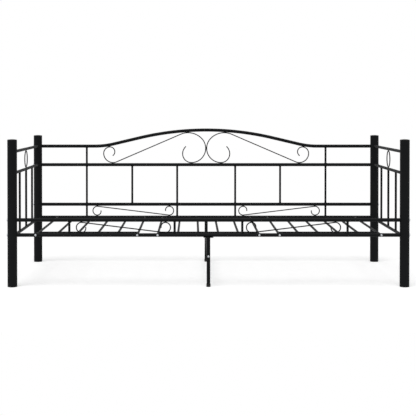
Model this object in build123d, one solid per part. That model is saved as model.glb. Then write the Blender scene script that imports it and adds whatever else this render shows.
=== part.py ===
"""Metal daybed frame for a 900 x 2000 mm mattress, in millimetres.

Four round posts carry two welded end panels, a back panel with an arched top rail, a low front panel,
three slat panels that bolt between the front and back rails, and a centre support with two legs.
X runs along the bed, Y from the front (negative) to the back, Z up from the floor.
The origin is on the floor, under the middle of the frame.
"""

import math
import os
from functools import cache

from build123d import *

# Overall layout: distances between post axes, and heights of tube axes
POST_SPAN_X = 2030.0
POST_SPAN_Y = 930.0
POST_HEIGHT = 764.0
TOP_RAIL_DROP = 67.0
TOP_BAND = 112.0
LOWER_RAIL_Z = 268.0
LOW_BAND = 78.0
END_BOTTOM_DROP = 9.0

# Tube and rod stock: outside diameter and wall
POST_D = 50.0
POST_WALL = 1.2
RAIL_D = 19.0
RAIL_WALL = 1.2
END_RAIL_D = 16.0
END_RAIL_WALL = 1.0
BALUSTER_D = 12.0
BALUSTER_WALL = 0.9
SCROLL_ROD_D = 6.0
LEG_D = 19.0
LEG_WALL = 1.2

# Gap left at every welded or bolted seat, so that neighbouring solids meet without crossing
SEAT_GAP = 0.1

# Arched stretch of the back top rail: rise, bend radii and slope of the straight flank
ARCH_RISE = 97.0
ARCH_CROWN_R = 1740.0
ARCH_FOOT_R = 480.0
ARCH_SLOPE = 13.3

# Uprights of the back and front panels, and of the end panels
OUTER_BALUSTER_X = 720.0
SHORT_BALUSTER_X = 446.0
INNER_BALUSTER_X = 175.0
END_BALUSTER_PITCH = 222.0

# Large scrolls under the arch: slope of the straight stretch, shoulder radius, hooks and small curl
ARCH_SCROLL_SLOPE = 23.3
ARCH_SCROLL_SHOULDER_R = 114.0
ARCH_SCROLL_SHOULDER_TURN = 45.0
ARCH_SCROLL_HOOK_R = 53.0
ARCH_SCROLL_TAIL_R = 60.0
ARCH_SCROLL_TAIL_TURN = 48.0
SMALL_CURL_R = 56.0
SMALL_CURL_INNER_R = 28.5
SMALL_CURL_TAIL_R = 30.0
SMALL_CURL_TAIL_TURN = 55.0

# Flat S scrolls between the two low rails
LOW_SCROLL_CENTRE_X = 440.0
LOW_SCROLL_LENGTH = 493.0
LOW_SCROLL_TAIL_R = 22.5
LOW_SCROLL_TAIL_TURN = 105.0

# Slat panels
SLATS_PER_PANEL = 6
SLAT_END_MARGIN = 120.8
SLAT_D = 12.0
SLAT_WALL = 0.9
CROSS_BAR_INSET = 105.0

# Centre support
STRETCHER_Z = 158.0
LEG_PLATE = (52.0, 24.0, 3.0)
LEG_PLATE_CORNER = 6.0
LEG_SCREW_X = 18.0
LEG_FOOT_D = 22.0
LEG_FOOT_HEIGHT = 16.0
LEG_FOOT_FLOOR = 3.0
LEG_FOOT_BEVEL = 0.75

# Plastic caps and feet of the posts
CAP_RIM = 3.0
CAP_CROWN = 2.5
FOOT_RIM = 5.0
FOOT_BEVEL = 1.5
PLUG_LENGTH = 16.0
PLUG_WALL = 2.5
PLUG_CLEARANCE = 0.1

# Fasteners: shank diameter, head diameter and head height
POST_BOLT = (8.0, 15.0, 2.4)
PANEL_BOLT = (6.0, 11.5, 3.6)
PLATE_SCREW = (5.0, 9.0, 2.8)
HEAD_FLAT_SHARE = 0.45
HEAD_EDGE_SHARE = 0.3
SOCKET_SHARE = 0.36
SOCKET_DEPTH_SHARE = 0.55
HOLE_CLEARANCE = 0.4
THREAD_CLEARANCE = 0.05
WASHER_D = 18.0
WASHER_CREST = 0.8
RAIL_NUT_LENGTH = 14.0
SLAT_NUT_LENGTH = 12.0
NUT_SETBACK = 3.0
PLATE_SCREW_LENGTH = 12.0

PANELS = ("left", "middle", "right")
TOP_RAIL_Z = POST_HEIGHT - TOP_RAIL_DROP
MIDDLE_RAIL_Z = TOP_RAIL_Z - TOP_BAND
UPPER_RAIL_Z = LOWER_RAIL_Z + LOW_BAND
END_BOTTOM_RAIL_Z = LOWER_RAIL_Z - END_BOTTOM_DROP
SLAT_PITCH = (POST_SPAN_X - 2 * SLAT_END_MARGIN) / (SLATS_PER_PANEL * len(PANELS) - 1)
HALF_X = POST_SPAN_X / 2
HALF_Y = POST_SPAN_Y / 2
POST_R = POST_D / 2
RAIL_R = RAIL_D / 2
SCROLL_R = SCROLL_ROD_D / 2
SCROLL_REACH = RAIL_R + SCROLL_R + SEAT_GAP
PLATE_TOP = LOWER_RAIL_Z - RAIL_R - SEAT_GAP
LEG_TOP = PLATE_TOP - LEG_PLATE[2] - SEAT_GAP
SIDES = {"left": -1, "right": 1}
FACES = {"front": -1, "back": 1}
FACE_RAILS = {
    "front": (UPPER_RAIL_Z, LOWER_RAIL_Z),
    "back": (TOP_RAIL_Z, MIDDLE_RAIL_Z, UPPER_RAIL_Z, LOWER_RAIL_Z),
}


def rod(start, end, diameter):
    """A solid round bar from start to end."""
    axis = Vector(*end) - Vector(*start)
    return extrude(Plane(origin=start, z_dir=axis) * Circle(diameter / 2), amount=axis.length)


def tube(start, end, diameter, wall):
    """A straight round tube from start to end, open at both ends."""
    axis = Vector(*end) - Vector(*start)
    ring = Circle(diameter / 2) - Circle(diameter / 2 - wall)
    return extrude(Plane(origin=start, z_dir=axis) * ring, amount=axis.length)


def seat_around(start, end, diameter):
    """The space that a tube's neighbour is cut back from: the tube's outside plus the seat gap."""
    return rod(start, end, diameter + 2 * SEAT_GAP)


def bent_path(start, heading, steps):
    """Tangent edges in an XZ plane. A step is a straight length, or a (radius, turn) pair in degrees.

    A positive turn bends the path from +X towards +Z.
    """
    x, y, z = start
    edges = []
    for step in steps:
        angle = math.radians(heading)
        if isinstance(step, tuple):
            radius, turn = step
            side = math.copysign(1, turn)
            centre_x = x - side * radius * math.sin(angle)
            centre_z = z + side * radius * math.cos(angle)
            swept = [angle + math.radians(turn * share) for share in (0.5, 1)]
            across = [centre_x + side * radius * math.sin(each) for each in swept]
            up = [centre_z - side * radius * math.cos(each) for each in swept]
            middle, end = [(across[i], y, up[i]) for i in (0, 1)]
            edges.append(ThreePointArc((x, y, z), middle, end))
            heading += turn
        else:
            end = (x + step * math.cos(angle), y, z + step * math.sin(angle))
            edges.append(Line((x, y, z), end))
        x, _, z = end
    return Wire([edge.edge() for edge in edges])


def along(path, profile):
    """A profile carried along a bent path."""
    return sweep(Plane(origin=path @ 0, z_dir=path % 0) * profile, path=path)


def group(solids):
    """Several separate solids kept as one node."""
    return Compound(children=[piece.solid() for piece in solids])


def bolt(size, length):
    """A button-head bolt with a hexagon socket. The head stands on +Z, its seat is at the origin."""
    shank_d, head_d, head_h = size
    half = head_d / 2
    flat = half * HEAD_FLAT_SHARE
    edge = head_h * HEAD_EDGE_SHARE
    crown = TangentArc((flat, head_h), (half, edge), tangent=(1, 0))
    outline = Polyline((flat, head_h), (0, head_h), (0, -length), (shank_d / 2, -length))
    seat = Polyline((shank_d / 2, -length), (shank_d / 2, 0), (half, 0), (half, edge))
    body = revolve(Plane.XZ * make_face([crown.edge(), *outline.edges(), *seat.edges()]), Axis.Z)
    depth = head_h * SOCKET_DEPTH_SHARE
    socket = Pos(0, 0, head_h - depth) * extrude(RegularPolygon(head_d * SOCKET_SHARE / 2, 6), depth)
    return body - socket


def end_nut(tube_d, wall, hole_d, length):
    """A round threaded plug that sits inside a tube's end, along +Z from the origin."""
    plug = Circle(tube_d / 2 - wall - SEAT_GAP) - Circle(hole_d / 2 + THREAD_CLEARANCE)
    return extrude(plug, amount=length)


def facing(position, direction):
    """A location whose +Z points along direction."""
    return Plane(origin=position, z_dir=direction).location


def post_axis(side, face):
    """The X and Y of a post's axis."""
    return SIDES[side] * HALF_X, FACES[face] * HALF_Y


@cache
def post_seats():
    """The outsides of the four posts, which every rail is coped to."""
    axes = [post_axis(side, face) for side in SIDES for face in FACES]
    return [seat_around((x, y, 0), (x, y, POST_HEIGHT), POST_D) for x, y in axes]


def post(side, face):
    """One corner post with a clearance hole straight through it for each bolted rail."""
    x, y = post_axis(side, face)
    body = tube((x, y, FOOT_RIM), (x, y, POST_HEIGHT - CAP_RIM - CAP_CROWN), POST_D, POST_WALL)
    for z in FACE_RAILS[face]:
        body -= rod((x - POST_D, y, z), (x + POST_D, y, z), POST_BOLT[0] + HOLE_CLEARANCE)
    return body


def plug_profile(rim, crown):
    """Half section of a push-in plug: a hollow skirt below the origin, a rim and a low crown above it."""
    outer = POST_R - POST_WALL - PLUG_CLEARANCE
    inner = outer - PLUG_WALL
    skirt = Polyline((0, 0), (inner, 0), (inner, -PLUG_LENGTH), (outer, -PLUG_LENGTH))
    shoulder = Polyline((outer, -PLUG_LENGTH), (outer, 0), (POST_R, 0), (POST_R, rim))
    top = TangentArc((0, rim + crown), (POST_R, rim), tangent=(1, 0))
    core = Line((0, rim + crown), (0, 0))
    return make_face([*skirt.edges(), *shoulder.edges(), top.edge(), core.edge()])


def post_cap(side, face):
    """A plastic plug with a low domed top that closes a post."""
    x, y = post_axis(side, face)
    plug = revolve(Plane.XZ * plug_profile(CAP_RIM, CAP_CROWN), Axis.Z)
    return Pos(x, y, POST_HEIGHT - CAP_RIM - CAP_CROWN) * plug


def post_foot(side, face):
    """A flat plastic glide under a post, on the same push-in skirt as the cap."""
    x, y = post_axis(side, face)
    outer = POST_R - POST_WALL - PLUG_CLEARANCE
    skirt = Polyline((0, 0), (outer - PLUG_WALL, 0), (outer - PLUG_WALL, PLUG_LENGTH), (outer, PLUG_LENGTH))
    rim = Polyline((outer, PLUG_LENGTH), (outer, 0), (POST_R, 0), (POST_R, FOOT_BEVEL - FOOT_RIM))
    sole = Polyline((POST_R, FOOT_BEVEL - FOOT_RIM), (POST_R - FOOT_BEVEL, -FOOT_RIM), (0, -FOOT_RIM), (0, 0))
    plug = revolve(Plane.XZ * make_face([*skirt.edges(), *rim.edges(), *sole.edges()]), Axis.Z)
    return Pos(x, y, FOOT_RIM) * plug


def end_rail(side, z):
    """A rail of an end panel, coped to the front and back posts."""
    x = SIDES[side] * HALF_X
    return tube((x, -HALF_Y, z), (x, HALF_Y, z), END_RAIL_D, END_RAIL_WALL) - post_seats()


def end_balusters(side):
    """Three uprights between the middle and bottom rails of an end panel."""
    x = SIDES[side] * HALF_X
    ends = (END_BOTTOM_RAIL_Z, MIDDLE_RAIL_Z)
    seats = [seat_around((x, -HALF_Y, z), (x, HALF_Y, z), END_RAIL_D) for z in ends]
    places = [step * END_BALUSTER_PITCH for step in (-1, 0, 1)]
    return group([tube((x, y, ends[0]), (x, y, ends[1]), BALUSTER_D, BALUSTER_WALL) - seats for y in places])


def end_ring(side):
    """A bent rod ring that fills the height between the top and middle rails of an end panel."""
    opening = TOP_RAIL_Z - MIDDLE_RAIL_Z - END_RAIL_D
    centre = (SIDES[side] * HALF_X, 0, (TOP_RAIL_Z + MIDDLE_RAIL_Z) / 2)
    return facing(centre, (1, 0, 0)) * Torus(opening / 2 - SCROLL_R - SEAT_GAP, SCROLL_R)


def straight_rail(face, z, cross_holes=()):
    """A rail along the bed between two posts, with cross holes for bolts through it where asked."""
    y = FACES[face] * HALF_Y
    rail = tube((-HALF_X, y, z), (HALF_X, y, z), RAIL_D, RAIL_WALL) - post_seats()
    for start, end, diameter in cross_holes:
        rail -= rod(start, end, diameter)
    return rail


def arch_flank():
    """Length of the straight flank between the foot bend and the crown bend of the arched rail."""
    bends = (ARCH_CROWN_R + ARCH_FOOT_R) * (1 - math.cos(math.radians(ARCH_SLOPE)))
    return (ARCH_RISE - bends) / math.sin(math.radians(ARCH_SLOPE))


def arch_half_width():
    """Distance from the middle of the bed to where the foot bend starts."""
    slope = math.radians(ARCH_SLOPE)
    return (ARCH_CROWN_R + ARCH_FOOT_R) * math.sin(slope) + arch_flank() * math.cos(slope)


def arched_rail():
    """The back top rail: level at both ends, with two foot bends, straight flanks and one wide crown."""
    level = HALF_X - arch_half_width()
    flank = arch_flank()
    foot = (ARCH_FOOT_R, ARCH_SLOPE)
    steps = [level, foot, flank, (ARCH_CROWN_R, -2 * ARCH_SLOPE), flank, foot, level]
    path = bent_path((-HALF_X, HALF_Y, TOP_RAIL_Z), 0, steps)
    outside = along(path, Circle(RAIL_R))
    return outside - along(path, Circle(RAIL_R - RAIL_WALL)) - post_seats()


def uprights(face, places, low_z, high_z):
    """Balusters between two level rails of the back or front panel."""
    y = FACES[face] * HALF_Y
    seats = [seat_around((-HALF_X, y, z), (HALF_X, y, z), RAIL_D) for z in (low_z, high_z)]
    both = [side * x for x in places for side in SIDES.values()]
    return group([tube((x, y, low_z), (x, y, high_z), BALUSTER_D, BALUSTER_WALL) - seats for x in both])


def mirrored(piece, side):
    """The left-hand piece as it is, or its mirror image for the right-hand side."""
    return piece if side == "left" else mirror(piece, about=Plane.YZ)


def arch_scroll(side):
    """A long scroll under the arch: a large open loop at the middle of the bed and a small curl outside.

    It stands on the middle rail. The large loop reaches the crown, the small curl reaches the foot bend,
    and the two large loops meet at the middle of the bed.
    """
    slope = math.radians(ARCH_SCROLL_SLOPE)
    shoulder = math.radians(ARCH_SCROLL_SHOULDER_TURN)
    floor = MIDDLE_RAIL_Z + SCROLL_REACH

    # The loop's radius follows from the height under the crown and from where the shoulder's top
    # lies along it, and each depends on the other, so they are solved in turns
    crown_centre = TOP_RAIL_Z + ARCH_RISE - ARCH_CROWN_R
    shoulder_drop = ARCH_SCROLL_SHOULDER_R * (1 - math.cos(shoulder))
    shoulder_swing = ARCH_CROWN_R - SCROLL_REACH - ARCH_SCROLL_SHOULDER_R
    top_x = 0.0
    for _ in range(8):
        top_z = crown_centre + ARCH_SCROLL_SHOULDER_R + math.sqrt(shoulder_swing**2 - top_x**2)
        loop_r = (top_z - floor - shoulder_drop) / (1 + math.cos(shoulder))
        top_x = SCROLL_R + SEAT_GAP / 2 + loop_r * (1 - math.sin(shoulder))
        top_x += ARCH_SCROLL_SHOULDER_R * math.sin(shoulder)

    bends = (SMALL_CURL_R + ARCH_SCROLL_SHOULDER_R) * (1 - math.cos(slope))
    straight = (top_z - floor - bends) / math.sin(slope)
    bend_run = (SMALL_CURL_R + ARCH_SCROLL_SHOULDER_R) * math.sin(slope)
    foot_x = -(top_x + straight * math.cos(slope) + bend_run)

    # The curl's top radius is the one whose circle just touches the foot bend's underside
    across = foot_x - SMALL_CURL_R + arch_half_width()
    below = floor + SMALL_CURL_R - TOP_RAIL_Z - ARCH_FOOT_R
    clear = ARCH_FOOT_R + SCROLL_REACH
    curl_top_r = (clear**2 - across**2 - below**2) / (2 * (across - clear))

    outer = [straight, (ARCH_SCROLL_SHOULDER_R, -ARCH_SCROLL_SLOPE - ARCH_SCROLL_SHOULDER_TURN)]
    outer += [(loop_r, ARCH_SCROLL_SHOULDER_TURN - 90), (loop_r, -90), (ARCH_SCROLL_HOOK_R, -90)]
    outer += [(ARCH_SCROLL_TAIL_R, -ARCH_SCROLL_TAIL_TURN)]
    curl = [(SMALL_CURL_R, -90), (curl_top_r, -90), (SMALL_CURL_INNER_R, -90)]
    curl += [(SMALL_CURL_TAIL_R, -SMALL_CURL_TAIL_TURN)]

    # The path is drawn from the curl's tail: the curl's steps are first run backwards from the floor
    start, heading = run_backwards((foot_x, HALF_Y, floor), 180, curl)
    steps = [(radius, -turn) for radius, turn in reversed(curl)]
    steps += [(SMALL_CURL_R, ARCH_SCROLL_SLOPE), *outer]
    return mirrored(along(bent_path(start, heading, steps), Circle(SCROLL_R)), side)


def run_backwards(start, heading, steps):
    """Where a path of bends ends, and the heading for walking it back from there."""
    path = bent_path(start, heading, steps)
    end = path @ 1
    turned = heading + sum(turn for _, turn in steps)
    return (end.X, end.Y, end.Z), turned + 180


def low_scroll(side, face):
    """A flat S scroll between the two low rails: an open curl at each end of one straight stretch."""
    height = UPPER_RAIL_Z - LOWER_RAIL_Z - RAIL_D - 2 * SEAT_GAP
    curl_r = (height - SCROLL_ROD_D) / 2
    centre_x = -LOW_SCROLL_CENTRE_X
    curl_x = (LOW_SCROLL_LENGTH - SCROLL_ROD_D) / 2 - curl_r
    slope = math.degrees(math.asin(curl_r / curl_x))
    straight = 2 * curl_x * math.cos(math.radians(slope))
    tail = (LOW_SCROLL_TAIL_R, LOW_SCROLL_TAIL_TURN)
    middle_z = (UPPER_RAIL_Z + LOWER_RAIL_Z) / 2
    y = FACES[face] * HALF_Y

    # One end is run backwards from its top, then the whole S is drawn from tail to tail
    curl = [(curl_r, 90), (curl_r, 90), tail]
    start, heading = run_backwards((centre_x - curl_x, y, middle_z + curl_r), 180, curl)
    steps = [(radius, -turn) for radius, turn in reversed(curl)]
    steps += [(curl_r, -slope), straight, (curl_r, slope), *curl]
    return mirrored(along(bent_path(start, heading, steps), Circle(SCROLL_R)), side)


def slat_places(panel):
    """The X of each slat of one panel. The pitch runs on from panel to panel."""
    first = SLAT_END_MARGIN - HALF_X + PANELS.index(panel) * SLATS_PER_PANEL * SLAT_PITCH
    return [first + step * SLAT_PITCH for step in range(SLATS_PER_PANEL)]


def side_slat_places():
    """The X of the slats that bolt to the rails: the outer two of every panel."""
    return [x for panel in PANELS for x in (slat_places(panel)[0], slat_places(panel)[-1])]


def side_slats(panel):
    """The outer two slats of a panel, coped to the front and back rails."""
    z = LOWER_RAIL_Z
    rails = [seat_around((-HALF_X, y, z), (HALF_X, y, z), RAIL_D) for y in (-HALF_Y, HALF_Y)]
    places = (slat_places(panel)[0], slat_places(panel)[-1])
    return group([tube((x, -HALF_Y, z), (x, HALF_Y, z), SLAT_D, SLAT_WALL) - rails for x in places])


def cross_bar_line(panel, face):
    """The axis of a cross bar, from one side slat of the panel to the other."""
    y = FACES[face] * (HALF_Y - CROSS_BAR_INSET)
    return (slat_places(panel)[0], y, LOWER_RAIL_Z), (slat_places(panel)[-1], y, LOWER_RAIL_Z)


def cross_bars(panel):
    """Two bars along the bed that tie a panel's slats, coped to its side slats."""
    z = LOWER_RAIL_Z
    places = (slat_places(panel)[0], slat_places(panel)[-1])
    seats = [seat_around((x, -HALF_Y, z), (x, HALF_Y, z), SLAT_D) for x in places]
    return group([tube(*cross_bar_line(panel, face), SLAT_D, SLAT_WALL) - seats for face in FACES])


def inner_slats(panel):
    """The slats between a panel's cross bars, coped to them."""
    seats = [seat_around(*cross_bar_line(panel, face), SLAT_D) for face in FACES]
    y = HALF_Y - CROSS_BAR_INSET
    z = LOWER_RAIL_Z
    places = slat_places(panel)[1:-1]
    return group([tube((x, -y, z), (x, y, z), SLAT_D, SLAT_WALL) - seats for x in places])


def rail_cross_holes(face):
    """Holes in a low rail: one through it for each side slat, two up into it for the leg plate."""
    y = FACES[face] * HALF_Y
    z = LOWER_RAIL_Z
    wide = PANEL_BOLT[0] + HOLE_CLEARANCE
    through = [((x, y - RAIL_D, z), (x, y + RAIL_D, z), wide) for x in side_slat_places()]
    fixing = PLATE_SCREW[0] + HOLE_CLEARANCE
    return through + [((x, y, z - RAIL_D), (x, y, z), fixing) for x in (-LEG_SCREW_X, LEG_SCREW_X)]


def leg(face):
    """A centre leg with a hole through it for the stretcher's bolt."""
    y = FACES[face] * HALF_Y
    hole = rod((0, y - LEG_D, STRETCHER_Z), (0, y + LEG_D, STRETCHER_Z), PANEL_BOLT[0] + HOLE_CLEARANCE)
    return tube((0, y, LEG_FOOT_FLOOR + SEAT_GAP), (0, y, LEG_TOP), LEG_D, LEG_WALL) - hole


def leg_plates():
    """The flat plates welded on the legs, with two screw holes each."""
    width, depth, thick = LEG_PLATE
    outline = RectangleRounded(width, depth, LEG_PLATE_CORNER)
    holes = [Pos(x, 0) * Circle((PLATE_SCREW[0] + HOLE_CLEARANCE) / 2) for x in (-LEG_SCREW_X, LEG_SCREW_X)]
    plate = extrude(outline - holes, amount=thick)
    return group([Pos(0, sign * HALF_Y, PLATE_TOP - thick) * plate for sign in FACES.values()])


def leg_feet():
    """Plastic ferrules pushed over the legs' lower ends."""
    ferrule = extrude(Circle(LEG_FOOT_D / 2), amount=LEG_FOOT_HEIGHT)
    ferrule = chamfer(ferrule.edges().group_by(Axis.Z)[0], LEG_FOOT_BEVEL)
    socket = extrude(Circle(LEG_D / 2 + SEAT_GAP), amount=LEG_FOOT_HEIGHT)
    ferrule -= Pos(0, 0, LEG_FOOT_FLOOR) * socket
    return group([Pos(0, sign * HALF_Y, 0) * ferrule for sign in FACES.values()])


def leg_stretcher():
    """The tube that ties the front leg to the back one, coped to both."""
    z = STRETCHER_Z
    legs = [seat_around((0, y, 0), (0, y, LOWER_RAIL_Z), LEG_D) for y in (-HALF_Y, HALF_Y)]
    return tube((0, -HALF_Y, z), (0, HALF_Y, z), LEG_D, LEG_WALL) - legs


def rail_ends():
    """The side, Y and Z of every rail end that is bolted to a post."""
    rails = [(FACES[face] * HALF_Y, z) for face in FACES for z in FACE_RAILS[face]]
    return [(side, y, z) for y, z in rails for side in SIDES.values()]


def post_bolt_places():
    """Each post bolt's seat on the outside of a post, with the direction its head points."""
    reach = HALF_X + POST_R + WASHER_CREST + 2 * SEAT_GAP
    return [((side * reach, y, z), (side, 0, 0)) for side, y, z in rail_ends()]


def post_bolts():
    """Bolts that go through a post into the nut in a rail's end."""
    length = WASHER_CREST + POST_D + NUT_SETBACK + RAIL_NUT_LENGTH
    model = bolt(POST_BOLT, length)
    return group([facing(*place) * model for place in post_bolt_places()])


def post_washers():
    """Saddle washers between the bolt heads and the round posts."""
    ring = Circle(WASHER_D / 2) - Circle((POST_BOLT[0] + HOLE_CLEARANCE) / 2)
    saddle = POST_R - math.sqrt(POST_R**2 - (WASHER_D / 2) ** 2)
    depth = WASHER_CREST + saddle
    washer = Pos(0, 0, -depth - SEAT_GAP) * extrude(ring, amount=depth)
    return group([facing(*place) * washer - post_seats() for place in post_bolt_places()])


def rail_nuts():
    """The nuts in the rails' ends, one for each post bolt."""
    model = end_nut(RAIL_D, RAIL_WALL, POST_BOLT[0], RAIL_NUT_LENGTH)
    inset = HALF_X - POST_R - NUT_SETBACK
    return group([facing((side * inset, y, z), (-side, 0, 0)) * model for side, y, z in rail_ends()])


def panel_bolts():
    """Bolts through the low rails into the side slats, and through the legs into the stretcher."""
    grip = NUT_SETBACK + SLAT_NUT_LENGTH
    slats = [(x, LOWER_RAIL_Z, RAIL_D) for x in side_slat_places()]
    solids = []
    for x, z, crossed in [*slats, (0, STRETCHER_Z, LEG_D)]:
        model = bolt(PANEL_BOLT, crossed + grip)
        reach = HALF_Y + crossed / 2 + SEAT_GAP
        solids += [facing((x, sign * reach, z), (0, sign, 0)) * model for sign in FACES.values()]
    return group(solids)


def slat_nuts():
    """The nuts in the ends of the side slats."""
    model = end_nut(SLAT_D, SLAT_WALL, PANEL_BOLT[0], SLAT_NUT_LENGTH)
    inset = HALF_Y - RAIL_R - NUT_SETBACK
    ends = [(x, sign) for x in side_slat_places() for sign in FACES.values()]
    return group([facing((x, sign * inset, LOWER_RAIL_Z), (0, -sign, 0)) * model for x, sign in ends])


def stretcher_nuts():
    """The nuts in the stretcher's ends."""
    model = end_nut(LEG_D, LEG_WALL, PANEL_BOLT[0], SLAT_NUT_LENGTH)
    inset = HALF_Y - LEG_D / 2 - NUT_SETBACK
    places = [((0, sign * inset, STRETCHER_Z), (0, -sign, 0)) for sign in FACES.values()]
    return group([facing(*place) * model for place in places])


def plate_screws():
    """Screws up through the leg plates into the low rails."""
    model = bolt(PLATE_SCREW, PLATE_SCREW_LENGTH)
    places = [(x, sign * HALF_Y, LEG_TOP) for x in (-LEG_SCREW_X, LEG_SCREW_X) for sign in FACES.values()]
    return group([facing(place, (0, 0, -1)) * model for place in places])


def end_panel_nodes():
    """Posts, caps, feet, rails, uprights and ring of both end panels."""
    nodes = {}
    for side in SIDES:
        for face in FACES:
            nodes[f"{side}_{face}_post"] = post(side, face)
            nodes[f"{side}_{face}_post_cap"] = post_cap(side, face)
            nodes[f"{side}_{face}_post_foot"] = post_foot(side, face)
        nodes[f"{side}_end_top_rail"] = end_rail(side, TOP_RAIL_Z)
        nodes[f"{side}_end_middle_rail"] = end_rail(side, MIDDLE_RAIL_Z)
        nodes[f"{side}_end_bottom_rail"] = end_rail(side, END_BOTTOM_RAIL_Z)
        nodes[f"{side}_end_balusters"] = end_balusters(side)
        nodes[f"{side}_end_ring"] = end_ring(side)
    return nodes


def long_panel_nodes():
    """Rails, uprights and scrolls of the back panel and of the low front panel."""
    low_places = (OUTER_BALUSTER_X, INNER_BALUSTER_X)
    all_places = (OUTER_BALUSTER_X, SHORT_BALUSTER_X, INNER_BALUSTER_X)
    nodes = {
        "back_arched_top_rail": arched_rail(),
        "back_middle_rail": straight_rail("back", MIDDLE_RAIL_Z),
        "back_upper_balusters": uprights("back", (OUTER_BALUSTER_X,), MIDDLE_RAIL_Z, TOP_RAIL_Z),
        "back_middle_balusters": uprights("back", all_places, UPPER_RAIL_Z, MIDDLE_RAIL_Z),
    }
    for side in SIDES:
        nodes[f"back_arch_scroll_{side}"] = arch_scroll(side)
    for face in FACES:
        nodes[f"{face}_upper_rail"] = straight_rail(face, UPPER_RAIL_Z)
        nodes[f"{face}_lower_rail"] = straight_rail(face, LOWER_RAIL_Z, rail_cross_holes(face))
        nodes[f"{face}_lower_balusters"] = uprights(face, low_places, LOWER_RAIL_Z, UPPER_RAIL_Z)
        for side in SIDES:
            nodes[f"{face}_low_scroll_{side}"] = low_scroll(side, face)
    return nodes


def base_nodes():
    """The three slat panels and the centre support."""
    nodes = {}
    for panel in PANELS:
        nodes[f"{panel}_base_side_slats"] = side_slats(panel)
        nodes[f"{panel}_base_inner_slats"] = inner_slats(panel)
        nodes[f"{panel}_base_cross_bars"] = cross_bars(panel)
    for face in FACES:
        nodes[f"{face}_centre_leg"] = leg(face)
    nodes["leg_top_plates"] = leg_plates()
    nodes["leg_feet"] = leg_feet()
    nodes["leg_stretcher"] = leg_stretcher()
    return nodes


def fastener_nodes():
    """Bolts, washers, nuts and screws, each kind as one group."""
    return {
        "post_bolts": post_bolts(),
        "post_saddle_washers": post_washers(),
        "rail_end_nuts": rail_nuts(),
        "panel_bolts": panel_bolts(),
        "slat_end_nuts": slat_nuts(),
        "stretcher_end_nuts": stretcher_nuts(),
        "leg_plate_screws": plate_screws(),
    }


def main():
    os.makedirs("parts", exist_ok=True)
    nodes = {**end_panel_nodes(), **long_panel_nodes(), **base_nodes(), **fastener_nodes()}
    for name, shape in nodes.items():
        export_step(shape, f"parts/{name}.step")


main()
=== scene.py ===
"""Black tubular daybed frame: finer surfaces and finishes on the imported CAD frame.

Sizes are in millimetres until a mesh is made. X runs along the bed, Y from the front to the back,
Z up from the floor.
"""

import math

import bmesh
import bpy
import numpy as np
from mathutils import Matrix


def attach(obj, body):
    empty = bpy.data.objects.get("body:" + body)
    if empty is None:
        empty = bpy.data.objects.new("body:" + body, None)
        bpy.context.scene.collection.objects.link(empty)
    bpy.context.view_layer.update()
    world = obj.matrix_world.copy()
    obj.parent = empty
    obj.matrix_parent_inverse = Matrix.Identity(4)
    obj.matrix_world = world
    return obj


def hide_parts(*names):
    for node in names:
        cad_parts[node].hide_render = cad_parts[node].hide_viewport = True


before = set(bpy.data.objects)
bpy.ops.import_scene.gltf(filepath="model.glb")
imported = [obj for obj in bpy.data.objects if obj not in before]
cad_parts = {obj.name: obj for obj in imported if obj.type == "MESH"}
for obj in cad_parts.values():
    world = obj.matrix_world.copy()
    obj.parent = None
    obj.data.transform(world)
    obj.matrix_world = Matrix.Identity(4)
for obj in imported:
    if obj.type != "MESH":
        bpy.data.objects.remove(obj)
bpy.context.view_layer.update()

MM = 0.001
X, Y, Z = np.eye(3)
SIDES = {"left": -1, "right": 1}
FACES = {"front": -1, "back": 1}

# Layout of the frame, as in the CAD model: half spans between post axes and heights of tube axes
HALF_X = 1015.0
HALF_Y = 465.0
POST_TOP = 764.0
TOP_Z = 697.0
MIDDLE_Z = 585.0
UPPER_Z = 346.0
LOWER_Z = 268.0
END_LOW_Z = 259.0
FACE_RAILS = {"front": (UPPER_Z, LOWER_Z), "back": (TOP_Z, MIDDLE_Z, UPPER_Z, LOWER_Z)}

# Stock: outside radius and wall of the tubes, radius of the scroll rod
POST_R, POST_WALL = 25.0, 1.2
RAIL_R, RAIL_WALL = 9.5, 1.2
END_RAIL_R, END_RAIL_WALL = 8.0, 1.0
BAR_R, BAR_WALL = 6.0, 0.9
ROD_R = 3.0
LEG_R, LEG_WALL = 9.5, 1.2

# Gap at a seat, and how far a welded end is sunk into the tube that it meets
SEAT_GAP = 0.1
WELD_SINK = 0.1

# Arch of the back top rail and the scrolls, as in the CAD model: sizes, and slopes and turns in degrees
ARCH_RISE, ARCH_CROWN_R, ARCH_FOOT_R, ARCH_SLOPE = 97.0, 1740.0, 480.0, 13.3
SCROLL_SLOPE, SHOULDER_R, SHOULDER_TURN = 23.3, 114.0, 45.0
HOOK_R, TAIL_R, TAIL_TURN = 53.0, 60.0, 48.0
CURL_R, CURL_INNER_R, CURL_TAIL_R, CURL_TAIL_TURN = 56.0, 28.5, 30.0, 55.0
LOW_CENTRE_X, LOW_LENGTH, LOW_TAIL_R, LOW_TAIL_TURN = 440.0, 493.0, 22.5, 105.0
SCROLL_SEAT = RAIL_R + ROD_R + SEAT_GAP
SETTLING_ROUNDS = 8

# Uprights, slats and centre support
OUTER_X, SHORT_X, INNER_X = 720.0, 446.0, 175.0
END_PITCH = 222.0
SLAT_MARGIN, SLATS, PANELS = 120.8, 6, ("left", "middle", "right")
SLAT_PITCH = 2 * (HALF_X - SLAT_MARGIN) / (SLATS * len(PANELS) - 1)
CROSS_INSET = 105.0
CROSS_Y = HALF_Y - CROSS_INSET
STRETCHER_Z = 158.0
PLATE_SIZE, PLATE_CORNER, PLATE_EDGE = (52.0, 24.0, 3.0), 6.0, 0.5
PLATE_TOP = LOWER_Z - RAIL_R - SEAT_GAP
LEG_TOP = PLATE_TOP - PLATE_SIZE[2] - SEAT_GAP
LEG_SCREW_X = 18.0

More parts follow.
